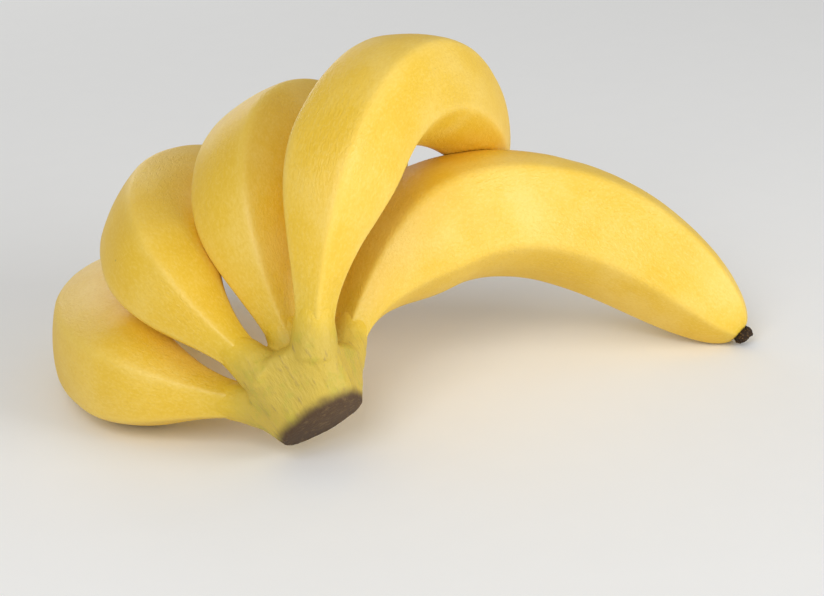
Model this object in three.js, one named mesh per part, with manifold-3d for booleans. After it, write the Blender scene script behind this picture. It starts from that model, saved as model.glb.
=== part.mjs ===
// A bunch of five ripe bananas, lying on a flat surface.
//
// The bananas grow out of one crown like the fingers of a hand. Each starts as a straight neck,
// swells into the fruit, curls towards the top of the stalk that the hand was cut from, and ends
// in the dried remains of its flower. Millimetres, degrees, +Z up; the origin is the middle of
// the bunch's box, on the surface.

import * as THREE from "three";
import { mergeVertices } from "three/addons/utils/BufferGeometryUtils.js";
import { ConvexGeometry } from "three/addons/geometries/ConvexGeometry.js";
import Module from "manifold-3d";

const wasm = await Module();
wasm.setup();

// ---- Driving dimensions ----

// One banana, before its own small differences.
const BANANA_LENGTH = 185; // along the middle line, crown to blossom end
const BANANA_RADIUS = 19.5; // mean radius at the belly
const NECK_RADIUS = 6.2; // mean radius where it leaves the crown
const END_RADIUS = 4; // mean radius of the flat spot at the blossom end

// Where along the length, from 0 at the crown to 1 at the end, the shape changes.
const NECK_ENDS = 0.05;
const BELLY_STARTS = 0.34;
const TAPER_STARTS = 0.6;
const TAPER_POWER = 2.2; // a higher one keeps the belly full for longer and the end blunter
const CURL_EASING = 0.9; // under 1 the curl starts sooner

const RIDGES = 5; // lengthwise edges of the peel
const RIDGE_STRENGTH = 0.4; // 0 is a round section, 1 a sharp pentagon
const PENTAGON_MEAN = 0.895; // of a pentagon's distances from its middle, its corners' being 1

// The crown, a pad of woody flesh that holds the necks, with one face where it was cut.
const NECK_SEAT = 18; // from the crown's middle to where the necks start inside it
const NECK_DEPTH = 6; // how far the crown reaches up each neck
const CROWN_WALL = 2.5; // flesh round each neck
const CROWN_BACK = 5; // from the crown's middle to the cut face
const CUT_WIDTH = 30; // of the cut face, across the bananas
const CUT_HEIGHT = 22; // of the cut face, along the stalk

// The dried flower at each end.
const BLOSSOM_RADIUS = 3.8;
const BLOSSOM_LENGTH = 3;

const GAP = 0.3; // between pieces that grow on or press against each other

// How the bunch lies: the stalk's direction on the surface, its dip and the roll about it.
const HEADING = 63.8;
const DIP = 27.5;
const ROLL = -1.5;

// Each banana: its place round the crown and along the stalk, how far its neck leans along the
// stalk and its curl swings sideways, how far it turns from neck to end, how much longer and
// thicker it is than the usual one, and where a ridge lies from its outer curve. The last one
// grows in the second row.
const BANANAS = [
  { fan: 0, rise: 1, lean: -8, swing: -26, bend: 113, longer: 0.99, thicker: 1.0, ridge: 36 },
  { fan: 30, rise: -8, lean: -7, swing: -17, bend: 117, longer: 1.0, thicker: 1.0, ridge: 36 },
  { fan: 58, rise: 1.5, lean: -12, swing: -11, bend: 121, longer: 0.97, thicker: 1.0, ridge: 36 },
  { fan: 89, rise: -8, lean: -13, swing: -2, bend: 127, longer: 1.1, thicker: 1.0, ridge: 36 },
  { fan: 83, rise: 16, lean: 31, swing: -50, bend: 114, longer: 1.11, thicker: 1.17, ridge: 7 },
];

// ---- Fineness of the meshes ----

const SIDES = 20; // round a banana, a multiple of RIDGES
const RINGS = 27; // along a banana
const CROWN_SIDES = 14; // round a collar of the crown and round its cut face
const BLOSSOM_SIDES = 10;
const SAME_POINT = 1e-4; // vertices closer than this are one

const peel = new THREE.MeshStandardMaterial({ color: 0xefc83c, roughness: 0.5, metalness: 0 });
const wood = new THREE.MeshStandardMaterial({ color: 0x9a8338, roughness: 0.75, metalness: 0 });
const dried = new THREE.MeshStandardMaterial({ color: 0x2b1c10, roughness: 0.9, metalness: 0 });

const radians = THREE.MathUtils.degToRad;
const ease = THREE.MathUtils.smoothstep;
const mean = (numbers) => numbers.reduce((sum, n) => sum + n, 0) / numbers.length;

// ---- Shape of one banana ----

// Mean radius at t along the length.
function radiusAt(t, belly) {
  const swell = NECK_RADIUS + (belly - NECK_RADIUS) * ease(t, NECK_ENDS, BELLY_STARTS);
  const taper = Math.max(0, (t - TAPER_STARTS) / (1 - TAPER_STARTS));
  const shrink = 1 - (END_RADIUS / belly) ** 2;
  return swell * Math.sqrt(1 - shrink * taper ** TAPER_POWER);
}

// Radius at an angle from a ridge, next to the mean: a circle blended with a pentagon.
function ridgeFactor(angle) {
  const half = Math.PI / RIDGES;
  const fromRidge = ((angle % (2 * half)) + 2 * half) % (2 * half);
  const pentagon = Math.cos(half) / Math.cos(fromRidge - half);
  return 1 + RIDGE_STRENGTH * (pentagon - PENTAGON_MEAN);
}

// The middle line, as a point and the two directions across it at each ring. It starts along
// `start` and turns towards `curl`.
function middleLine(root, start, curl, bend, length) {
  const side = new THREE.Vector3().crossVectors(curl, start);
  const step = length / RINGS;
  const at = root.clone();
  const heading = (t) => bend * ease(t ** CURL_EASING, 0, 1);
  const along = (angle) =>
    start.clone().multiplyScalar(Math.cos(angle)).addScaledVector(curl, Math.sin(angle));
  const line = [];
  for (let i = 0; i <= RINGS; i++) {
    const angle = heading(i / RINGS);
    const outward = along(angle - Math.PI / 2);
    line.push({ at: at.clone(), outward, side, along: along(angle) });
    if (i < RINGS) at.addScaledVector(along(heading((i + 0.5) / RINGS)), step);
  }
  return line;
}

// A lathe turned round the y axis, with y counting rings, is laid along a middle line. `factorAt`
// gives the radius at an angle from the outer curve, next to the lathe's.
function layAlong(geometry, line, factorAt) {
  const position = geometry.getAttribute("position");
  for (let i = 0; i < position.count; i++) {
    const x = position.getX(i);
    const z = position.getZ(i);
    const { at, outward, side } = line[Math.round(position.getY(i))];
    const angle = Math.atan2(x, z);
    const radius = Math.hypot(x, z) * factorAt(angle);
    const point = at.clone();
    point.addScaledVector(outward, radius * Math.cos(angle));
    point.addScaledVector(side, radius * Math.sin(angle));
    position.setXYZ(i, point.x, point.y, point.z);
  }
  return geometry;
}

// ---- Solids ----

function solid(geometry) {
  const bare = geometry.clone();
  bare.deleteAttribute("normal");
  bare.deleteAttribute("uv");
  const merged = mergeVertices(bare, SAME_POINT);
  return new wasm.Manifold(
    new wasm.Mesh({
      numProp: 3,
      vertProperties: merged.getAttribute("position").array,
      triVerts: new Uint32Array(merged.index.array),
    }),
  );
}

function mesh(name, body, material) {
  const { vertProperties, triVerts } = body.getMesh();
  const geometry = new THREE.BufferGeometry();
  geometry.setAttribute("position", new THREE.BufferAttribute(vertProperties, 3));
  geometry.setIndex(new THREE.BufferAttribute(triVerts, 1));
  geometry.computeVertexNormals();
  const part = new THREE.Mesh(geometry, material.clone());
  part.name = name;
  return part;
}

// A banana's middle line in the hand's own frame, where +Z is the stalk.
function lineOf({ fan, rise, lean, swing, bend, longer }) {
  const stalk = new THREE.Vector3(0, 0, 1);
  const out = new THREE.Vector3(Math.cos(radians(fan)), Math.sin(radians(fan)), 0);
  const root = out.clone().multiplyScalar(NECK_SEAT).addScaledVector(stalk, rise);
  const tilt = radians(lean);
  const start = out.clone().multiplyScalar(Math.cos(tilt)).addScaledVector(stalk, Math.sin(tilt));
  const curl = stalk.clone().multiplyScalar(Math.cos(tilt)).addScaledVector(out, -Math.sin(tilt));
  curl.applyAxisAngle(start, radians(swing));
  return middleLine(root, start, curl, radians(bend), BANANA_LENGTH * longer);
}

// A banana's solid. `spare` swells it all round, to cut room for it in a neighbour.
function bananaSolid(banana, line, spare) {
  const profile = [new THREE.Vector2(0, 0)];
  for (let i = 0; i <= RINGS; i++) {
    const radius = radiusAt(i / RINGS, BANANA_RADIUS * banana.thicker) + spare;
    profile.push(new THREE.Vector2(radius, i));
  }
  profile.push(new THREE.Vector2(0, RINGS));
  const stations = line.map((s, i) => {
    const push = i === 0 ? -spare : i === RINGS ? spare : 0;
    return { ...s, at: s.at.clone().addScaledVector(s.along, push) };
  });
  const factorAt = (angle) => ridgeFactor(angle - radians(banana.ridge));
  return solid(layAlong(new THREE.LatheGeometry(profile, SIDES), stations, factorAt));
}

// The dried flower: a short stub past the end of the fruit, a little wider at its middle. Each
// pair is a radius and a share of the length.
function blossomSolid(line) {
  const last = line[RINGS];
  const shape = [
    [0, 0],
    [BLOSSOM_RADIUS * 0.88, 0],
    [BLOSSOM_RADIUS, 0.4],
    [BLOSSOM_RADIUS * 0.97, 0.75],
    [BLOSSOM_RADIUS * 0.75, 1],
    [0, 1],
  ];
  const profile = shape.map(([radius], i) => new THREE.Vector2(radius, i));
  const stations = shape.map(([, share]) => {
    const at = last.at.clone().addScaledVector(last.along, GAP + share * BLOSSOM_LENGTH);
    return { ...last, at };
  });
  const round = () => 1;
  return solid(layAlong(new THREE.LatheGeometry(profile, BLOSSOM_SIDES), stations, round));
}

// The crown: the hull of a collar round each neck and of the cut face behind them all.
function crownSolid(lines) {
  const ring = ({ at, outward, side }, width, height) =>
    Array.from({ length: CROWN_SIDES }, (_, i) => {
      const angle = (2 * Math.PI * i) / CROWN_SIDES;
      const point = at.clone().addScaledVector(outward, height * Math.cos(angle));
      return point.addScaledVector(side, width * Math.sin(angle));
    });
  const collar = NECK_RADIUS + CROWN_WALL;
  const points = lines.flatMap(([root]) => {
    const mouth = { ...root, at: root.at.clone().addScaledVector(root.along, NECK_DEPTH) };
    return [...ring(root, collar, collar), ...ring(mouth, collar, collar)];
  });
  const middle = radians(mean(BANANAS.map((b) => b.fan)));
  const back = new THREE.Vector3(-Math.cos(middle), -Math.sin(middle), 0);
  const outward = new THREE.Vector3(0, 0, 1);
  const side = new THREE.Vector3().crossVectors(back, outward);
  const at = back.clone().multiplyScalar(CROWN_BACK);
  at.z = mean(BANANAS.map((b) => b.rise));
  points.push(...ring({ at, outward, side }, CUT_WIDTH / 2, CUT_HEIGHT / 2));
  return solid(new ConvexGeometry(points));
}

// ---- The bunch ----

const bunch = new THREE.Group();
const lines = BANANAS.map(lineOf);
const roomy = BANANAS.map((banana, i) => bananaSolid(banana, lines[i], GAP));

const crown = roomy.reduce((pad, neck) => pad.subtract(neck), crownSolid(lines));
bunch.add(mesh("crown", crown, wood));

BANANAS.forEach((banana, i) => {
  // A banana is pressed flat where the next ones lie against it.
  const body = roomy.slice(i + 1).reduce(
    (fruit, neighbour) => fruit.subtract(neighbour),
    bananaSolid(banana, lines[i], 0),
  );
  bunch.add(mesh(`banana_${i + 1}`, body, peel));
  bunch.add(mesh(`blossom_tip_${i + 1}`, blossomSolid(lines[i]), dried));
});

// Lay the bunch down: +Z of the bunch becomes the stalk's direction, +Y the upward side of it.
const up = new THREE.Vector3(0, 0, 1);
const stalk = new THREE.Vector3().setFromSphericalCoords(1, radians(90 + DIP), radians(HEADING));
stalk.set(stalk.z, stalk.x, stalk.y);
const across = new THREE.Vector3().crossVectors(up, stalk).normalize();
const upward = new THREE.Vector3().crossVectors(stalk, across);
bunch.rotation.z = radians(ROLL);
const lying = new THREE.Group();
lying.quaternion.setFromRotationMatrix(new THREE.Matrix4().makeBasis(across, upward, stalk));
lying.add(bunch);
lying.updateMatrixWorld(true);

// Rest its lowest point on the surface, with the middle of its box over the origin.
const box = new THREE.Box3().setFromObject(lying, true);
const centre = box.getCenter(new THREE.Vector3());
lying.position.set(-centre.x, -centre.y, -box.min.z);

export default lying;
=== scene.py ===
"""A bunch of five ripe bananas on one cut crown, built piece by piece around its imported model.

Every banana is grown ring by ring along its own bent middle line, the crown is a hull with a sleeve
up each neck, remeshed and cut, and the dried flowers are ragged caps. All sizes are in metres.
"""

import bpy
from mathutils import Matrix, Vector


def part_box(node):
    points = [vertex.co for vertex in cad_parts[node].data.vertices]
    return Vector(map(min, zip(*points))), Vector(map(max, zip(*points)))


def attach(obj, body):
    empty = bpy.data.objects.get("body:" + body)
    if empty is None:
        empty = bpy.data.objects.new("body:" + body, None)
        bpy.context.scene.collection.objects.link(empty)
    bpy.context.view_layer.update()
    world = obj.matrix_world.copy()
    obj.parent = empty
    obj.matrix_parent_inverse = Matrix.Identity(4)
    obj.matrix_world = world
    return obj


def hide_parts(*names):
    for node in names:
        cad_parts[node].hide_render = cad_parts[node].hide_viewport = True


bl_info = {
    "name": "Bunch of Bananas",
    "version": (1, 0, 0),
    "blender": (4, 5, 0),
    "location": "View3D > Sidebar > Bananas",
    "description": "Builds a bunch of ripe bananas with its crown, dried flowers and a studio",
    "category": "Add Mesh",
}

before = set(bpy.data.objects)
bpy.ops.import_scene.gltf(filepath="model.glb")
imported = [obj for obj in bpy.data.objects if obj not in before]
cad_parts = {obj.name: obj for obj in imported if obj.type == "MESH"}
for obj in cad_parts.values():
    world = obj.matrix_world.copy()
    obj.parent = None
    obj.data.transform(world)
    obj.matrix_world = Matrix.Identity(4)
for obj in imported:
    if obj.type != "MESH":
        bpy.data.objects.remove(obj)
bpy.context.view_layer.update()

import math

import bmesh
import bpy
import numpy as np
from bpy.props import FloatProperty, FloatVectorProperty, PointerProperty
from mathutils import Matrix, Quaternion, Vector

BODY = "root"

# Each banana: its place round the crown and along the stalk, how far its neck leans along the
# stalk and its curl swings sideways, how far it turns from neck to end, how much longer and
# thicker it is than the usual one, and where its first ridge lies from the outer curve.
# Angles in degrees, rise in metres. Except for the ridges, a search program found these values.
# They were rounded afterwards, and some lengths and thicknesses changed a little.
BANANAS = (
    dict(fan=0, rise=0.001, lean=-8, swing=-26, bend=113, longer=0.99, thicker=1.0, ridge=36),
    dict(fan=30, rise=-0.008, lean=-7, swing=-17, bend=117, longer=1.0, thicker=1.0, ridge=36),
    dict(fan=58, rise=0.0015, lean=-12, swing=-11, bend=121, longer=0.97, thicker=1.0, ridge=36),
    dict(fan=89, rise=-0.008, lean=-13, swing=-2, bend=127, longer=1.1, thicker=1.0, ridge=36),
    dict(fan=83, rise=0.016, lean=31, swing=-50, bend=114, longer=1.11, thicker=1.17, ridge=7),
)

# How the bunch lies: the stalk's direction on the surface, its dip and the roll about it. The
# angles are rounded from a simulation in which the bunch settled under its own weight.
HEADING = math.radians(63.8)
DIP = math.radians(27.5)
ROLL = math.radians(-1.5)

RIDGES = 5
CORNERS = 20  # round a banana before it is subdivided, a multiple of RIDGES
RINGS = 54  # along a banana
RIDGE_PINCH = 0.55  # how far the corners beside a ridge move towards it
MEAN_STAND_OUT = 0.45  # of a section, where a ridge stands out by 1 and the middle of a side by 0
ROUNDING_SPARE = 1.018  # the subdivision draws the corners in by this much
CURL_EASING = 0.9
TAPER_POWER = 2.2
APART = 0.1  # between the patterns of one banana and the next
PEEL_SWELL = 0.035  # size of the peel's slow swells and dips
PEEL_RELIEF = 0.0003  # height of the peel's wrinkles and of the crown's fibres
RIDGE_FADE = 0.13  # radians from a ridge, where its painted highlight has fallen to about a third
PRESSED_GAP = 0.0001  # left between bananas that are pressed together

PAD_CORNERS = 24  # round each ring that the crown's hull is drawn over
PAD_WALL = 0.5  # of the crown's wall, which the hull has round a neck
PAD_REACH = 0.6  # of the neck depth, where the hull itself ends
SLEEVE_CORNERS = 40
SLEEVE_REACH = 0.019  # how far the crown's skin runs up each neck
SLEEVE_TIP = 0.95  # of the neck's radius, where a sleeve has run out
FOOT_INSET = 0.35  # of a sleeve's radius at its foot, by which the foot is narrowed
FOOT_DROP = 0.003  # how far the narrowed foot then sinks into the hull
CROWN_VOXEL = 0.0006
CROWN_SMOOTHING = 14  # rounds that soften the remeshed crown
CROWN_SWELL = 0.006  # size of the crown's bumps
CROWN_SWELL_HEIGHT = 0.0007
SLICED_OFF = 0.0012  # from the back of the hull
CUT_FADE = 0.008  # how deep under the hull's back the dried brown can reach

SEAT_GAP = 0.0003  # between a banana's end and its dried flower
SUNK = 0.0018  # how far the dried flower sits in the rounded end
FLOWER_CORNERS = 15
FLOWER_FOOT = 0.78  # of its radius, at the very bottom
# Its rings from the bottom up: how far each rises, as a share of the whole, and how many times
# as wide it is as the ring below.
FLOWER_RINGS = ((0.4, 1.25), (0.25, 0.96), (0.2, 0.84), (0.15, 0.68))
# The hollow on top and the stub in it: each step inwards, as a share of the radius, and how far
# it then goes up or down, as a share of the whole rise.
FLOWER_HOLLOW = ((0.12, -0.14), (0.16, -0.08), (0.1, 0.2))
FLOWER_CRUMPLES = ((0.0034, 0.0014), (0.0012, 0.0008))  # size and height of each set

KEY = dict(size=0.9, place=(1.25, -0.67, 0.5))
FILL = dict(size=0.8, place=(-0.35, -1.1, 0.95))
RIM = dict(size=0.5, place=(-0.45, 1.15, 0.35))
LIT_POINT = (0, 0, 0.05)  # which the lights face
FLOOR_SIZE = 8
FLOOR_GRAIN = 0.985  # of the floor's colour, in its darker grain
SENSOR_WIDTH = 36  # millimetres

X, Y, Z = Vector((1, 0, 0)), Vector((0, 1, 0)), Vector((0, 0, 1))


def ease(value, low, high):
    """0 below low, 1 above high, and smooth between."""
    share = min(max((value - low) / (high - low), 0.0), 1.0)
    return share * share * (3 - 2 * share)


# ---- Settings ----


class BananaSettings(bpy.types.PropertyGroup):
    """Sizes and colours of the bananas."""

    length: FloatProperty(
        name="Length",
        description="Along the middle line, from the crown to the flower end",
        default=0.185, min=0.1, max=0.3, unit="LENGTH",
    )
    radius: FloatProperty(
        name="Belly radius",
        description="Mean radius at the thickest part",
        default=0.0195, min=0.01, max=0.03, unit="LENGTH",
    )
    neck_radius: FloatProperty(
        name="Neck radius",
        description="Mean radius where the neck leaves the crown",
        default=0.0062, min=0.003, max=0.012, unit="LENGTH",
    )
    end_radius: FloatProperty(
        name="End radius",
        description="Mean radius of the flat spot under the dried flower",
        default=0.004, min=0.002, max=0.01, unit="LENGTH",
    )
    neck_ends: FloatProperty(
        name="Neck ends",
        description="Share of the length where the neck starts to swell",
        default=0.05, min=0.0, max=0.3,
    )
    belly_starts: FloatProperty(
        name="Belly starts",
        description="Share of the length where the full thickness is reached",
        default=0.34, min=0.1, max=0.6,
    )
    taper_starts: FloatProperty(
        name="Taper starts",
        description="Share of the length where the end starts to taper",
        default=0.6, min=0.4, max=0.9,
    )
    ridge_height: FloatProperty(
        name="Ridge height",
        description="How far a ridge stands out from the middle of the sides beside it",
        default=0.115, min=0.0, max=0.25, subtype="FACTOR",
    )
    unevenness: FloatProperty(
        name="Unevenness",
        description="Height of the slow swells and dips of the peel",
        default=0.0009, min=0.0, max=0.003, unit="LENGTH",
    )
    peel: FloatVectorProperty(
        name="Peel",
        description="Main yellow of the ripe peel",
        default=(0.85, 0.545, 0.026), size=3, min=0.0, max=1.0, subtype="COLOR",
    )
    pale: FloatVectorProperty(
        name="Pale peel",
        # This pale yellow is real random mottling, and also the painted highlight along the ridges.
        description="Paler yellow of the mottling and of the ridges",
        default=(0.94, 0.69, 0.17), size=3, min=0.0, max=1.0, subtype="COLOR",
    )
    deep: FloatVectorProperty(
        name="Deep peel",
        description="Deeper gold of the mottling",
        default=(0.78, 0.47, 0.012), size=3, min=0.0, max=1.0, subtype="COLOR",
    )
    green: FloatVectorProperty(
        name="Green peel",
        description="Last green near the neck and the flower end",
        default=(0.42, 0.42, 0.03), size=3, min=0.0, max=1.0, subtype="COLOR",
    )
    speck: FloatVectorProperty(
        name="Specks",
        description="Brown of the few specks on the peel",
        default=(0.30, 0.16, 0.03), size=3, min=0.0, max=1.0, subtype="COLOR",
    )


class CrownSettings(bpy.types.PropertyGroup):
    """Sizes and colours of the crown."""

    neck_seat: FloatProperty(
        name="Neck seat",
        description="From the crown's middle to where the necks start inside it",
        default=0.018, min=0.005, max=0.05, unit="LENGTH",
    )
    neck_depth: FloatProperty(
        name="Neck depth",
        description="About how far the thick part of the crown reaches up each neck",
        default=0.006, min=0.001, max=0.02, unit="LENGTH",
    )
    wall: FloatProperty(
        name="Wall",
        description="Flesh round each neck",
        default=0.0025, min=0.001, max=0.01, unit="LENGTH",
    )
    back: FloatProperty(
        name="Back",
        description="From the crown's middle to its back, before that is sliced flat",
        default=0.005, min=0.0, max=0.03, unit="LENGTH",
    )
    cut_width: FloatProperty(
        name="Cut width",
        description="Width of the cut face, across the bananas",
        default=0.030, min=0.01, max=0.06, unit="LENGTH",
    )
    cut_height: FloatProperty(
        name="Cut height",
        description="Height of the cut face, along the stalk",
        default=0.022, min=0.01, max=0.06, unit="LENGTH",
    )
    flesh: FloatVectorProperty(
        name="Flesh",
        description="Olive yellow of the crown's skin",
        default=(0.58, 0.42, 0.06), size=3, min=0.0, max=1.0, subtype="COLOR",
    )
    dried: FloatVectorProperty(
        name="Dried",
        description="Brown of the dried cut face",
        default=(0.085, 0.045, 0.018), size=3, min=0.0, max=1.0, subtype="COLOR",
    )
    scar: FloatVectorProperty(
        name="Scar",
        description="Light brown of the fibres and scars",
        default=(0.30, 0.19, 0.07), size=3, min=0.0, max=1.0, subtype="COLOR",
    )


class BlossomSettings(bpy.types.PropertyGroup):
    """Sizes and colours of the dried flowers."""

    radius: FloatProperty(
        name="Radius",
        description="Outer radius of the dried flower",
        default=0.0038, min=0.002, max=0.01, unit="LENGTH",
    )
    length: FloatProperty(
        name="Length",
        description="How far the dried flower stands past the fruit",
        default=0.003, min=0.001, max=0.01, unit="LENGTH",
    )
    dark: FloatVectorProperty(
        name="Dark",
        description="Nearly black brown of the dried flower",
        default=(0.030, 0.016, 0.007), size=3, min=0.0, max=1.0, subtype="COLOR",
    )
    fleck: FloatVectorProperty(
        name="Fleck",
        description="Golden brown of its flecks",
        default=(0.22, 0.12, 0.035), size=3, min=0.0, max=1.0, subtype="COLOR",
    )


class StudioSettings(bpy.types.PropertyGroup):
    """The floor, the lights and the camera, whose place, aim and tilt came from the search that
    found the bananas' values, and were then moved a little."""

    floor: FloatVectorProperty(
        name="Floor",
        description="Colour of the plain floor",
        default=(0.92, 0.92, 0.91), size=3, min=0.0, max=1.0, subtype="COLOR",
    )
    key_power: FloatProperty(
        name="Key power",
        description="Power of the large soft light at the right",
        default=12.0, min=0.0, max=200.0, unit="POWER",
    )
    fill_power: FloatProperty(
        name="Fill power",
        description="Power of the light above the camera",
        default=8.5, min=0.0, max=200.0, unit="POWER",
    )
    rim_power: FloatProperty(
        name="Rim power",
        description="Power of the low light behind the bunch",
        default=1.8, min=0.0, max=200.0, unit="POWER",
    )
    ambient: FloatProperty(
        name="Ambient",
        description="Strength of the white surroundings",
        default=0.42, min=0.0, max=5.0,
    )
    azimuth: FloatProperty(
        name="Camera azimuth",
        description="Turn of the camera round the bunch",
        default=math.radians(-0.27), min=-math.pi, max=math.pi, subtype="ANGLE",
    )
    elevation: FloatProperty(
        name="Camera elevation",
        description="How far down the camera looks",
        default=math.radians(21.75), min=-1.5, max=1.5, subtype="ANGLE",
    )
    tilt: FloatProperty(
        name="Camera tilt",
        description="Turn of the camera about its line of sight",
        default=math.radians(2.61), min=-1.5, max=1.5, subtype="ANGLE",
    )
    distance: FloatProperty(
        name="Camera distance",
        description="From the camera to the point it looks at",
        default=0.863, min=0.2, max=5.0, unit="LENGTH",
    )
    aim: FloatVectorProperty(
        name="Camera aim",
        description="The point that the camera looks at",
        default=(0.0030, 0.0004, 0.0292), size=3, subtype="TRANSLATION", unit="LENGTH",
    )
    lens: FloatProperty(
        name="Lens",
        description="Focal length in millimetres on a sensor 36 mm wide",
        default=104.85, min=10.0, max=300.0, unit="CAMERA",
    )


# ---- Where the bananas grow ----


class Station:
    """A place on a banana's middle line, with the three directions there."""

    def __init__(self, at, outward, side, along):
        self.at, self.outward, self.side, self.along = at, outward, side, along

    def basis(self):
        """Turns a shape that was made round +Z, with +X outward, to stand at this place."""
        turn = Matrix((self.outward, self.side, self.along)).transposed()
        return Matrix.Translation(self.at) @ turn.to_4x4()


def heading(banana, t):
    """How far the middle line has turned at a share t of the length."""
    return math.radians(banana["bend"]) * ease(t**CURL_EASING, 0, 1)


def flat_line(banana, length):
    """The middle line laid in the XZ plane: it starts along +Z and turns towards -X."""
    at, line = Vector(), []
    for ring in range(RINGS + 1):
        turned = heading(banana, ring / RINGS)
        outward = Vector((math.cos(turned), 0, math.sin(turned)))
        along = Vector((-math.sin(turned), 0, math.cos(turned)))
        line.append(Station(at.copy(), outward, Y.copy(), along))
        turned = heading(banana, (ring + 0.5) / RINGS)
        at += Vector((-math.sin(turned), 0, math.cos(turned))) * length / RINGS
    return line


def neck_place(banana, neck_seat):
    """Where and how a banana starts, in the hand's own space, where +Z is the stalk."""
    fan, tilt = math.radians(banana["fan"]), math.radians(banana["lean"])
    out = Vector((math.cos(fan), math.sin(fan), 0))
    start = math.cos(tilt) * out + math.sin(tilt) * Z
    curl = math.cos(tilt) * Z - math.sin(tilt) * out
    curl.rotate(Quaternion(start, math.radians(banana["swing"])))
    return Station(out * neck_seat + Z * banana["rise"], -curl, curl.cross(start), start).basis()


def lay_down(settings):
    """From the hand's own space to where the bunch lies, which the dried flowers' boxes tell."""
    stalk = Vector((
        math.cos(HEADING) * math.cos(DIP),
        math.sin(HEADING) * math.cos(DIP),
        -math.sin(DIP),
    ))
    across = Z.cross(stalk).normalized()
    upward = stalk.cross(across)
    turn = Matrix((across, upward, stalk)).transposed().to_4x4() @ Matrix.Rotation(ROLL, 4, "Z")
    shift = Vector()
    for number, banana in enumerate(BANANAS, 1):
        low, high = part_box(f"blossom_tip_{number}")
        end = flat_line(banana, settings.bananas.length * banana["longer"])[-1]
        middle = end.at + end.along * (SEAT_GAP + settings.blossoms.length / 2)
        place = turn @ neck_place(banana, settings.crown.neck_seat)
        shift += ((low + high) / 2 - place @ middle) / len(BANANAS)
    return Matrix.Translation(shift) @ turn


def radius_at(settings, t, belly):
    """A banana's mean radius at a share t of its length."""
    neck = settings.neck_radius
    full = neck + (belly - neck) * ease(t, settings.neck_ends, settings.belly_starts)
    taper = max(0.0, (t - settings.taper_starts) / (1 - settings.taper_starts))
    shrink = 1 - (settings.end_radius / belly) ** 2
    return full * math.sqrt(1 - shrink * taper**TAPER_POWER)


# ---- Modelling helpers ----


def deselect_all():
    if bpy.context.object and bpy.context.object.mode != "OBJECT":
        bpy.ops.object.mode_set(mode="OBJECT")
    bpy.ops.object.select_all(action="DESELECT")


def activate(piece):
    deselect_all()
    piece.select_set(True)
    bpy.context.view_layer.objects.active = piece


def edit(piece):
    activate(piece)
    bpy.ops.object.mode_set(mode="EDIT")


def select_where(piece, test, kind="verts"):
    """In edit mode, selects just the vertices, edges or faces that pass the test."""
    mesh = bmesh.from_edit_mesh(piece.data)
    for element in (*mesh.faces, *mesh.edges, *mesh.verts):
        element.select = False
    for element in getattr(mesh, kind):
        if test(element):
            element.select_set(True)
    mesh.select_flush_mode()
    bmesh.update_edit_mesh(piece.data)


def turn_selected(angle, axis, centre):
    """Turns what is selected by the right-hand rule. The operator turns the other way when
    Blender runs with no window."""
    bpy.ops.transform.rotate(
        value=-angle if bpy.app.background else angle,
        orient_axis=axis,
        center_override=centre,
    )


def apply_modifier(piece, kind, **settings):
    activate(piece)
    modifier = piece.modifiers.new(kind.title(), kind)
    for name, value in settings.items():
        setattr(modifier, name, value)
    bpy.ops.object.modifier_apply(modifier=modifier.name)


def subdivide_smoothly(piece, levels):
    apply_modifier(piece, "SUBSURF", levels=levels, render_levels=levels)


def swell(piece, size, height, number=0):
    """Pushes the surface in and out by a soft noise of that size, another stretch of it for
    each number."""
    settle(piece, Matrix.Translation(X * APART * number))
    texture = bpy.data.textures.new(f"{piece.name}_swell", "CLOUDS")
    texture.noise_scale = size
    apply_modifier(
        piece, "DISPLACE", texture=texture, strength=height, mid_level=0.5,
        texture_coords="GLOBAL",
    )
    bpy.data.textures.remove(texture)
    settle(piece, Matrix.Translation(X * -APART * number))


def settle(piece, place):
    """Moves a finished piece to its place and leaves its object at the origin."""
    activate(piece)
    piece.matrix_world = place
    bpy.ops.object.transform_apply(location=True, rotation=True, scale=True)


def hand_in(piece, node, material):
    """Smooths the piece, gives it its finish in its one slot, puts it on the body and hides the
    imported node that it replaces.
    """
    activate(piece)
    bpy.ops.object.shade_smooth()
    piece.data.materials.clear()
    piece.data.materials.append(material)
    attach(piece, BODY)
    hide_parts(node)


# ---- Materials ----


class Value:
    """A node's output, with Math nodes as Python's own operators."""

    def __init__(self, paint, output):
        self.paint, self.output = paint, output

    def math(self, operation, first, second):
        return self.paint.node("ShaderNodeMath", {"operation": operation}, {0: first, 1: second})

    def __add__(self, other):
        return self.math("ADD", self, other)

    def __sub__(self, other):
        return self.math("SUBTRACT", self, other)

    def __rsub__(self, other):
        return self.math("SUBTRACT", other, self)

    def __mul__(self, other):
        return self.math("MULTIPLY", self, other)

    __radd__, __rmul__ = __add__, __mul__

    def step(self, low, high):
        """0 below low, 1 above high, and smooth between."""
        return self.paint.node(
            "ShaderNodeMapRange",
            {"interpolation_type": "SMOOTHSTEP"},
            {"Value": self, "From Min": low, "From Max": high},
        )


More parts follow.
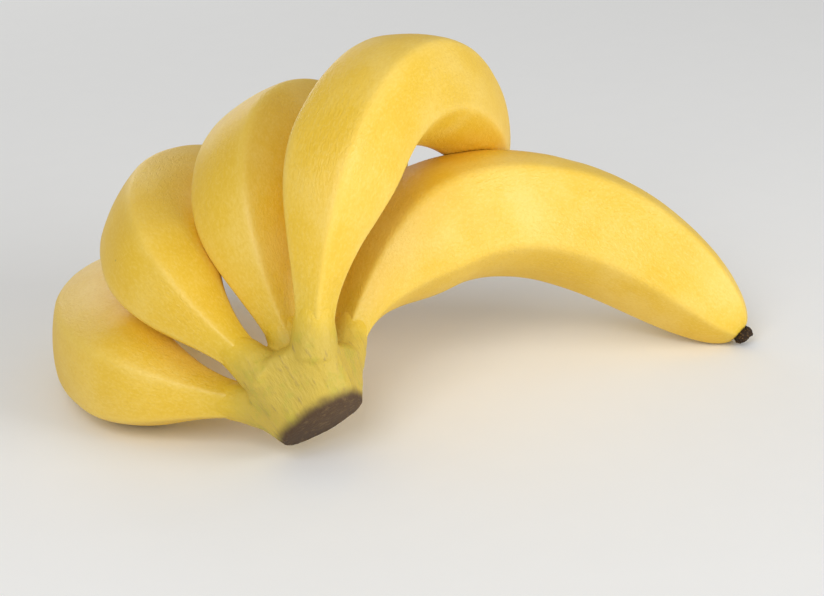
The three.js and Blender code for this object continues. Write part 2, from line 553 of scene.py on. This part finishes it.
class Paint:
    """A material and the one way its nodes are made."""

    def __init__(self, name):
        self.material = bpy.data.materials.new(name)
        self.material.use_nodes = True
        self.tree = self.material.node_tree
        self.shader = self.tree.nodes["Principled BSDF"]

    def node(self, kind, settings=None, inputs=None, output=0):
        """Makes a node: first its settings, then the values or links of its sockets."""
        made = self.tree.nodes.new(kind)
        for name, value in (settings or {}).items():
            setattr(made, name, value)
        for name, value in (inputs or {}).items():
            self.join(self.socket(made, name), value)
        return Value(self, made.outputs[output])

    def socket(self, node, name):
        """An input by its number, its identifier or its name."""
        if isinstance(name, int):
            return node.inputs[name]
        by_identifier = [s for s in node.inputs if s.identifier == name]
        return by_identifier[0] if by_identifier else node.inputs[name]

    def join(self, socket, value):
        """Links another node's output to the socket, or sets it to a number or a colour."""
        if isinstance(value, Value):
            self.tree.links.new(value.output, socket)
        elif hasattr(value, "__len__") and len(value) == 3 and len(socket.default_value) == 4:
            socket.default_value = (*value, 1)
        else:
            socket.default_value = value

    def attribute(self, name, output="Fac"):
        return self.node("ShaderNodeAttribute", {"attribute_name": name}, output=output)

    def stretched(self, vector, scale):
        return self.node(
            "ShaderNodeVectorMath", {"operation": "MULTIPLY"}, {0: vector, 1: scale}
        )

    def noise(self, vector, scale, detail, roughness=0.5, distortion=0.0):
        return self.node(
            "ShaderNodeTexNoise",
            {},
            {
                "Vector": vector,
                "Scale": scale,
                "Detail": detail,
                "Roughness": roughness,
                "Distortion": distortion,
            },
        )

    def mix(self, first, second, factor):
        return self.node(
            "ShaderNodeMix",
            {"data_type": "RGBA", "clamp_factor": True},
            {"Factor_Float": factor, "A_Color": first, "B_Color": second},
            output=2,
        )

    def bump(self, height, distance):
        return self.node("ShaderNodeBump", {}, {"Height": height, "Distance": distance})

    def finish(self, **sockets):
        for name, value in sockets.items():
            self.join(self.shader.inputs[name.replace("_", " ")], value)
        return self.material


def peel_colour(paint, settings, straight, along):
    """Mottled yellows of ripe peel, a last green by the neck, and the crown's olive at its foot."""
    look = settings.bananas
    clouds = paint.noise(straight, scale=36.0, detail=3.0, roughness=0.55)
    drawn = paint.stretched(straight, (1, 1, 0.75))
    mottle = paint.noise(drawn, scale=1100.0, detail=2.0, roughness=0.6)
    long_drawn = paint.stretched(straight, (1, 1, 0.03))
    streaks = paint.noise(long_drawn, scale=520.0, detail=2.0, roughness=0.6)
    colour = paint.mix(look.peel, look.pale, clouds.step(0.42, 0.72) * 0.45)
    colour = paint.mix(colour, look.deep, clouds.step(0.52, 0.25) * 0.4)
    colour = paint.mix(colour, look.pale, mottle.step(0.46, 0.74) * 0.30)
    colour = paint.mix(colour, look.deep, mottle.step(0.52, 0.28) * 0.30)
    colour = paint.mix(colour, look.pale, streaks.step(0.5, 0.8) * 0.12)
    colour = paint.mix(colour, look.green, along.step(0.17, 0.03) * 0.22)
    foot = (along + (clouds - 0.5) * 0.03).step(0.085, 0.02)
    return paint.mix(colour, settings.crown.flesh, foot * 0.75), mottle


def peel_relief(paint, straight):
    """Fine wrinkles along the fruit, stronger in patches, with pores between them."""
    drawn = paint.stretched(straight, (1, 1, 0.55))
    wavy = paint.noise(drawn, scale=800.0, detail=2.0, roughness=0.55, distortion=1.0)
    pores = paint.noise(straight, scale=2600.0, detail=1.0)
    patches = paint.noise(straight, scale=30.0, detail=1.0).step(0.3, 0.62)
    return wavy * (0.3 + 0.7 * patches) + pores * 0.12


def peel_material(settings):
    """Ripe peel: satin and faintly waxy, with a painted highlight along the ridges, browned at the
    flower end.
    """
    paint = Paint("banana_peel")
    straight = paint.attribute("straight", "Vector")
    along = paint.attribute("along")
    colour, mottle = peel_colour(paint, settings, straight, along)
    # Painted highlight: the ridges are painted paler, as where light catches them.
    colour = paint.mix(colour, settings.bananas.pale, paint.attribute("ridge") * 0.25)
    colour = paint.mix(colour, settings.bananas.green, along.step(0.96, 0.995) * 0.12)
    crumbs = paint.noise(straight, scale=900.0, detail=2.0)
    dry_edge = (along + (crumbs - 0.5) * 0.005).step(0.9945, 0.998)
    colour = paint.mix(colour, settings.blossoms.dark, dry_edge)
    cells = paint.node(
        "ShaderNodeTexVoronoi",
        {"feature": "F1"},
        {"Vector": straight, "Scale": 130.0},
        output="Distance",
    )
    speckled = paint.noise(straight, scale=55.0, detail=1.0).step(0.63, 0.67)
    specks = cells.step(0.07, 0.035) * speckled
    colour = paint.mix(colour, settings.bananas.speck, specks * 0.5)
    return paint.finish(
        Base_Color=colour,
        Roughness=0.44 + 0.08 * mottle,
        Normal=paint.bump(peel_relief(paint, straight), PEEL_RELIEF),
        Specular_IOR_Level=0.65,
    )


def crown_material(settings):
    """Crown: the peel's yellow up the necks, fibrous olive skin, and a dark, dried cut face."""
    look = settings.crown
    paint = Paint("crown_flesh")
    place = paint.attribute("place", "Vector")
    straight = paint.attribute("straight", "Vector")
    along = paint.attribute("along")
    cut = paint.attribute("cut")
    colour, mottle = peel_colour(paint, settings, straight, along)
    pad = along.step(0.075, 0.02)
    drawn = paint.stretched(place, (1, 1, 0.12))
    fibres = paint.noise(drawn, scale=500.0, detail=4.0, roughness=0.65)
    blotches = paint.noise(place, scale=110.0, detail=4.0, roughness=0.6)
    colour = paint.mix(colour, settings.bananas.green, pad * blotches.step(0.5, 0.35) * 0.35)
    colour = paint.mix(colour, look.scar, pad * fibres.step(0.55, 0.75) * 0.55)
    edge = (cut + (blotches - 0.5) * 0.5).step(0.25, 0.8)
    colour = paint.mix(colour, look.dried, edge)
    colour = paint.mix(colour, look.scar, edge * fibres.step(0.52, 0.72) * 0.5)
    relief = peel_relief(paint, straight) * (1 - pad) + pad * (fibres * 2.5 + blotches)
    return paint.finish(
        Base_Color=colour,
        Roughness=0.46 + 0.08 * mottle + 0.3 * edge,
        Normal=paint.bump(relief, PEEL_RELIEF),
        Specular_IOR_Level=0.5,
    )


def blossom_material(settings):
    """Dried flower: nearly black, crumpled, with golden brown flecks."""
    look = settings.blossoms
    paint = Paint("dried_blossom")
    place = paint.attribute("place", "Vector")
    crumple = paint.noise(place, scale=900.0, detail=4.0, roughness=0.65)
    flecks = paint.noise(place, scale=1500.0, detail=3.0, roughness=0.6).step(0.56, 0.68)
    colour = paint.mix(look.dark, look.fleck, flecks * 0.8)
    return paint.finish(
        Base_Color=colour,
        Roughness=0.75 + 0.15 * crumple,
        Normal=paint.bump(crumple, distance=0.0005),
        Specular_IOR_Level=0.3,
    )


def floor_material(settings):
    """Plain matt floor."""
    paint = Paint("studio_floor")
    place = paint.node("ShaderNodeTexCoord", output="Object")
    grain = paint.noise(place, scale=60.0, detail=2.0)
    light = settings.studio.floor
    colour = paint.mix(light, [part * FLOOR_GRAIN for part in light], grain)
    return paint.finish(Base_Color=colour, Roughness=0.9, Specular_IOR_Level=0.1)


# ---- Attributes that the materials read ----


def points_of(piece):
    places = np.empty(len(piece.data.vertices) * 3, np.float32)
    piece.data.vertices.foreach_get("co", places)
    return places.reshape(-1, 3)


def write_numbers(piece, name, numbers):
    layer = piece.data.attributes.new(name, "FLOAT", "POINT")
    layer.data.foreach_set("value", np.ascontiguousarray(numbers, np.float32))


def write_vectors(piece, name, vectors):
    layer = piece.data.attributes.new(name, "FLOAT_VECTOR", "POINT")
    layer.data.foreach_set("vector", np.ascontiguousarray(vectors, np.float32).ravel())


def straighten(places, line, length):
    """Where points lie on the straightened banana: across it outwards and sideways, and their
    share of its length."""
    at = np.array([station.at for station in line])
    along = np.array([station.along for station in line])
    outward = np.array([station.outward for station in line])
    offset = places[:, None, :] - at[None]
    nearest = (offset**2).sum(2).argmin(1)
    offset = offset[np.arange(len(places)), nearest]
    past = (offset * along[nearest]).sum(1)
    x = (offset * outward[nearest]).sum(1)
    return x, places[:, 1], nearest / RINGS + past / length


def write_peel_attributes(piece, banana, number, line, length):
    """Where each point lies on the straightened banana, and how near it is to a ridge."""
    x, y, share = straighten(points_of(piece), line, length)
    spacing = 2 * math.pi / RIDGES
    angle = (np.arctan2(y, x) - math.radians(banana["ridge"])) % spacing
    from_ridge = np.minimum(angle, spacing - angle)
    write_numbers(piece, "along", np.clip(share, 0, 1))
    # This ridge weight is the mask of the painted highlight along the ridges.
    write_numbers(piece, "ridge", np.exp(-((from_ridge / RIDGE_FADE) ** 2)))
    write_vectors(piece, "straight", np.stack([x + APART * number, y, share * length], 1))


# ---- Pieces ----


def grow_banana(settings, banana, number):
    """One banana, ring by ring, in its own space: it starts at the origin along +Z."""
    look = settings.bananas
    length = look.length * banana["longer"]
    belly = look.radius * banana["thicker"]
    line = flat_line(banana, length)
    deselect_all()
    bpy.ops.mesh.primitive_circle_add(
        vertices=CORNERS,
        radius=radius_at(look, 0, belly),
        fill_type="NGON",
        rotation=(0, 0, math.radians(banana["ridge"])),
    )
    piece = bpy.context.object
    piece.name = piece.data.name = f"ripe_banana_{number}"
    bpy.ops.object.transform_apply(location=True, rotation=True, scale=True)
    bpy.ops.object.mode_set(mode="EDIT")
    shape_section(piece, banana, look.ridge_height)
    select_where(piece, lambda face: True, "faces")
    for ring in range(RINGS):
        here, after = line[ring], line[ring + 1]
        growth = radius_at(look, (ring + 1) / RINGS, belly) / radius_at(look, ring / RINGS, belly)
        turn = heading(banana, (ring + 1) / RINGS) - heading(banana, ring / RINGS)
        bpy.ops.mesh.extrude_region_move(TRANSFORM_OT_translate={"value": after.at - here.at})
        turn_selected(-turn, "Y", after.at)
        bpy.ops.transform.resize(value=(growth, growth, growth), center_override=after.at)
    bpy.ops.mesh.select_all(action="SELECT")
    bpy.ops.mesh.normals_make_consistent(inside=False)
    bpy.ops.object.mode_set(mode="OBJECT")
    subdivide_smoothly(piece, levels=2)
    write_peel_attributes(piece, banana, number, line, length)
    swell(piece, PEEL_SWELL, look.unevenness, number)
    return piece


def shape_section(piece, banana, height):
    """Turns the round first ring into a five-sided one with rounded ridges."""
    first = math.radians(banana["ridge"])
    spacing = 2 * math.pi / RIDGES
    step = 2 * math.pi / CORNERS

    def from_ridge(vertex):
        angle = (math.atan2(vertex.co.y, vertex.co.x) - first) % spacing
        return angle if angle < spacing / 2 + step / 2 else angle - spacing

    def near(share):
        return lambda vertex: abs(from_ridge(vertex) - share * step) < step / 4

    half = spacing / 2
    for side in (-1, 1):
        select_where(piece, near(side))
        turn_selected(-side * RIDGE_PINCH * step, "Z", (0, 0, 0))
    for share in (0, 1 - RIDGE_PINCH, RIDGE_PINCH - 1, half / step):
        pentagon = math.cos(half) / math.cos(half - abs(share) * step)
        stand_out = (pentagon - math.cos(half)) / (1 - math.cos(half))
        pull = ROUNDING_SPARE + height * (stand_out - MEAN_STAND_OUT)
        select_where(piece, near(share))
        bpy.ops.transform.resize(value=(pull, pull, 1), center_override=(0, 0, 0))


def press_together(pieces):
    """Presses every banana flat where a later one lies against it."""
    for number, piece in enumerate(pieces):
        for neighbour in pieces[number + 1 :]:
            apply_modifier(
                piece, "SHRINKWRAP", target=neighbour, wrap_method="NEAREST_SURFACEPOINT",
                wrap_mode="OUTSIDE", offset=PRESSED_GAP,
            )


class BUNCH_OT_bananas(bpy.types.Operator):
    """Grow the five bananas and press them together where they touch"""

    bl_idname = "bunch.bananas"
    bl_label = "Bananas"

    def execute(self, context):
        settings = context.scene.bunch
        lie = lay_down(settings)
        peel = peel_material(settings)
        pieces = []
        for number, banana in enumerate(BANANAS, 1):
            piece = grow_banana(settings, banana, number)
            settle(piece, lie @ neck_place(banana, settings.crown.neck_seat))
            pieces.append(piece)
        press_together(pieces)
        for number, piece in enumerate(pieces, 1):
            hand_in(piece, f"banana_{number}", peel)
        return {"FINISHED"}


class BUNCH_OT_crown(bpy.types.Operator):
    """Build the crown round the necks and cut its dried face"""

    bl_idname = "bunch.crown"
    bl_label = "Crown"

    def execute(self, context):
        settings = context.scene.bunch
        places = [neck_place(banana, settings.crown.neck_seat) for banana in BANANAS]
        face = self.cut_face(settings.crown)
        pad = self.build(settings.crown, settings.bananas.neck_radius, places, face)
        self.cut(pad, face)
        self.write_attributes(pad, face, places, settings.bananas.length)
        settle(pad, lay_down(settings))
        hand_in(pad, "crown", crown_material(settings))
        return {"FINISHED"}

    def cut_face(self, look):
        """The middle of the crown's back, facing away from the necks."""
        fan = math.radians(sum(banana["fan"] for banana in BANANAS) / len(BANANAS))
        rise = sum(banana["rise"] for banana in BANANAS) / len(BANANAS)
        back = Vector((-math.cos(fan), -math.sin(fan), 0))
        return Station(back * look.back + Z * rise, Z, back.cross(Z), back)

    def build(self, look, neck, places, face):
        """A hull over the necks' feet and the crown's back, with a sleeve up each neck, all
        melted together."""
        around = neck + look.wall * PAD_WALL
        deselect_all()
        rings = []
        for place in places:
            for reach in (0, look.neck_depth * PAD_REACH):
                rings.append(self.add_ring(place @ Matrix.Translation(Z * reach), around, around))
        rings.append(self.add_ring(face.basis(), look.cut_height / 2, look.cut_width / 2))
        pad = self.join(rings)
        edit(pad)
        bpy.ops.mesh.select_all(action="SELECT")
        bpy.ops.mesh.convex_hull()
        bpy.ops.object.mode_set(mode="OBJECT")
        sleeves = [self.add_sleeve(place, neck + look.wall, neck) for place in places]
        pad = self.join([pad, *sleeves])
        pad.name = pad.data.name = "cut_crown"
        apply_modifier(pad, "REMESH", mode="VOXEL", voxel_size=CROWN_VOXEL)
        apply_modifier(pad, "SMOOTH", factor=0.5, iterations=CROWN_SMOOTHING)
        swell(pad, CROWN_SWELL, CROWN_SWELL_HEIGHT)
        return pad

    def join(self, pieces):
        deselect_all()
        for piece in pieces:
            piece.select_set(True)
        bpy.context.view_layer.objects.active = pieces[0]
        bpy.ops.object.join()
        bpy.ops.object.transform_apply(location=True, rotation=True, scale=True)
        return bpy.context.object

    def add_ring(self, place, height, width):
        bpy.ops.mesh.primitive_circle_add(vertices=PAD_CORNERS, radius=1, fill_type="NOTHING")
        ring = bpy.context.object
        ring.matrix_world = place @ Matrix.Diagonal((height, width, 1, 1))
        return ring

    def add_sleeve(self, place, collar, neck):
        """A tapered sleeve up a neck, so that the crown runs out along it."""
        bpy.ops.mesh.primitive_cone_add(
            vertices=SLEEVE_CORNERS, radius1=collar, radius2=neck * SLEEVE_TIP, depth=SLEEVE_REACH
        )
        sleeve = bpy.context.object
        sleeve.matrix_world = place @ Matrix.Translation(Z * SLEEVE_REACH / 2)
        edit(sleeve)
        select_where(sleeve, lambda face: face.normal.z < -0.9, "faces")  # its flat foot
        bpy.ops.mesh.inset(thickness=collar * FOOT_INSET)
        bpy.ops.transform.translate(value=place.to_3x3() @ Z * -FOOT_DROP)
        bpy.ops.object.mode_set(mode="OBJECT")
        return sleeve

    def cut(self, pad, face):
        """Slices the crown flat at its back and closes it."""
        edit(pad)
        bpy.ops.mesh.select_all(action="SELECT")
        bpy.ops.mesh.bisect(
            plane_co=face.at - face.along * SLICED_OFF,
            plane_no=face.along,
            use_fill=True,
            clear_outer=True,
        )
        bpy.ops.object.mode_set(mode="OBJECT")

    def write_attributes(self, pad, face, places, length):
        """How near each point is to the cut face, and its place on the nearest neck."""
        points = points_of(pad)
        depth = (np.array(face.at) - points) @ np.array(face.along)
        write_numbers(pad, "cut", np.clip(1 - depth / CUT_FADE, 0, 1))
        directions = np.array([face.outward, face.side, face.along]).T
        write_vectors(pad, "place", points @ directions)
        nearest = np.full(len(points), np.inf)
        straight = np.zeros((len(points), 3))
        for number, (banana, place) in enumerate(zip(BANANAS, places), 1):
            back = np.array(place.inverted())
            local = points @ back[:3, :3].T + back[:3, 3]
            reach = length * banana["longer"]
            x, y, share = straighten(local, flat_line(banana, reach), reach)
            away = np.hypot(x, y)
            here = away < nearest
            nearest[here] = away[here]
            found = np.stack([x + APART * number, y, share * reach], 1)
            straight[here] = found[here]
        write_vectors(pad, "straight", straight)
        write_numbers(pad, "along", straight[:, 2] / length)


class BUNCH_OT_blossoms(bpy.types.Operator):
    """Set a dried flower on the end of every banana"""

    bl_idname = "bunch.blossoms"
    bl_label = "Dried flowers"

    def execute(self, context):
        settings = context.scene.bunch
        look = settings.blossoms
        lie = lay_down(settings)
        dried = blossom_material(settings)
        for number, banana in enumerate(BANANAS, 1):
            piece = self.build(look, number)
            end = flat_line(banana, settings.bananas.length * banana["longer"])[-1]
            place = lie @ neck_place(banana, settings.crown.neck_seat) @ end.basis()
            settle(piece, place)
            hand_in(piece, f"blossom_tip_{number}", dried)
        return {"FINISHED"}

    def build(self, look, number):
        """A ragged cap over the banana's end, with the stub of the flower in a hollow on top."""
        rise = look.length + SUNK
        deselect_all()
        bpy.ops.mesh.primitive_circle_add(
            vertices=FLOWER_CORNERS,
            radius=look.radius * FLOWER_FOOT,
            fill_type="NGON",
            location=Z * (SEAT_GAP - SUNK),
        )
        piece = bpy.context.object
        piece.name = piece.data.name = f"dried_flower_{number}"
        bpy.ops.object.transform_apply(location=True, rotation=True, scale=True)
        bpy.ops.object.mode_set(mode="EDIT")
        bpy.ops.mesh.select_all(action="SELECT")
        for share, widen in FLOWER_RINGS:
            bpy.ops.mesh.extrude_region_move(TRANSFORM_OT_translate={"value": Z * rise * share})
            bpy.ops.transform.resize(value=(widen, widen, 1), center_override=(0, 0, 0))
        for inset, push in FLOWER_HOLLOW:
            bpy.ops.mesh.inset(thickness=look.radius * inset)
            bpy.ops.transform.translate(value=Z * rise * push)
        bpy.ops.mesh.select_all(action="SELECT")
        bpy.ops.mesh.normals_make_consistent(inside=False)
        bpy.ops.object.mode_set(mode="OBJECT")
        subdivide_smoothly(piece, levels=3)
        write_vectors(piece, "place", points_of(piece) + np.array([APART * number, 0, 0]))
        for size, height in FLOWER_CRUMPLES:
            swell(piece, size, height, number)
        return piece


class BUNCH_OT_studio(bpy.types.Operator):
    """Set up the floor, the soft lights and the camera"""

    bl_idname = "bunch.studio"
    bl_label = "Studio"

    def execute(self, context):
        settings = context.scene.bunch
        look = settings.studio
        self.add_floor(settings)
        self.add_light("key", look.key_power, **KEY)
        self.add_light("fill", look.fill_power, **FILL)
        self.add_light("rim", look.rim_power, **RIM)
        self.light_surroundings(look)
        self.add_camera(look)
        context.scene.view_settings.view_transform = "Standard"
        return {"FINISHED"}

    def add_floor(self, settings):
        deselect_all()
        bpy.ops.mesh.primitive_plane_add(size=FLOOR_SIZE)
        floor = bpy.context.object
        floor.name = floor.data.name = "studio_floor"
        floor.data.materials.append(floor_material(settings))

    def add_light(self, name, power, size, place):
        bpy.ops.object.light_add(type="AREA", location=place)
        lamp = bpy.context.object
        lamp.name = name
        lamp.data.energy = power
        lamp.data.size = size
        towards = Vector(LIT_POINT) - Vector(place)
        lamp.rotation_euler = towards.to_track_quat("-Z", "Y").to_euler()

    def light_surroundings(self, look):
        world = bpy.data.worlds.new("studio")
        world.use_nodes = True
        ground = world.node_tree.nodes["Background"]
        ground.inputs["Color"].default_value = (1, 1, 1, 1)
        ground.inputs["Strength"].default_value = look.ambient
        bpy.context.scene.world = world

    def add_camera(self, look):
        away = Vector((
            -math.sin(look.azimuth) * math.cos(look.elevation),
            -math.cos(look.azimuth) * math.cos(look.elevation),
            math.sin(look.elevation),
        ))
        turn = (-away).to_track_quat("-Z", "Y") @ Quaternion(Z, -look.tilt)
        bpy.ops.object.camera_add(location=Vector(look.aim) + away * look.distance)
        camera = bpy.context.object
        camera.rotation_euler = turn.to_euler()
        camera.data.lens = look.lens
        camera.data.sensor_width = SENSOR_WIDTH
        bpy.context.scene.camera = camera


# ---- Panel and registration ----


class BunchSettings(bpy.types.PropertyGroup):
    """All the bunch's settings."""

    bananas: PointerProperty(type=BananaSettings, name="Bananas", description="The bananas")
    crown: PointerProperty(type=CrownSettings, name="Crown", description="The crown")
    blossoms: PointerProperty(type=BlossomSettings, name="Flowers", description="The flowers")
    studio: PointerProperty(type=StudioSettings, name="Studio", description="The studio")


class BUNCH_PT_panel(bpy.types.Panel):
    """Lists the operators that build the bunch"""

    bl_idname = "BUNCH_PT_panel"
    bl_label = "Bunch of bananas"
    bl_space_type = "VIEW_3D"
    bl_region_type = "UI"
    bl_category = "Bananas"

    def draw(self, context):
        settings = context.scene.bunch
        for operator, group in (
            (BUNCH_OT_bananas, settings.bananas),
            (BUNCH_OT_crown, settings.crown),
            (BUNCH_OT_blossoms, settings.blossoms),
            (BUNCH_OT_studio, settings.studio),
        ):
            box = self.layout.box()
            box.operator(operator.bl_idname)
            for name in group.__annotations__:
                box.prop(group, name)


CLASSES = (
    BananaSettings,
    CrownSettings,
    BlossomSettings,
    StudioSettings,
    BunchSettings,
    BUNCH_OT_bananas,
    BUNCH_OT_crown,
    BUNCH_OT_blossoms,
    BUNCH_OT_studio,
    BUNCH_PT_panel,
)


def register():
    for each in CLASSES:
        bpy.utils.register_class(each)
    bpy.types.Scene.bunch = PointerProperty(type=BunchSettings)


def unregister():
    del bpy.types.Scene.bunch
    for each in reversed(CLASSES):
        bpy.utils.unregister_class(each)


def main():
    register()
    bpy.ops.bunch.bananas()
    bpy.ops.bunch.crown()
    bpy.ops.bunch.blossoms()
    bpy.ops.bunch.studio()


if __name__ == "__main__":
    main()
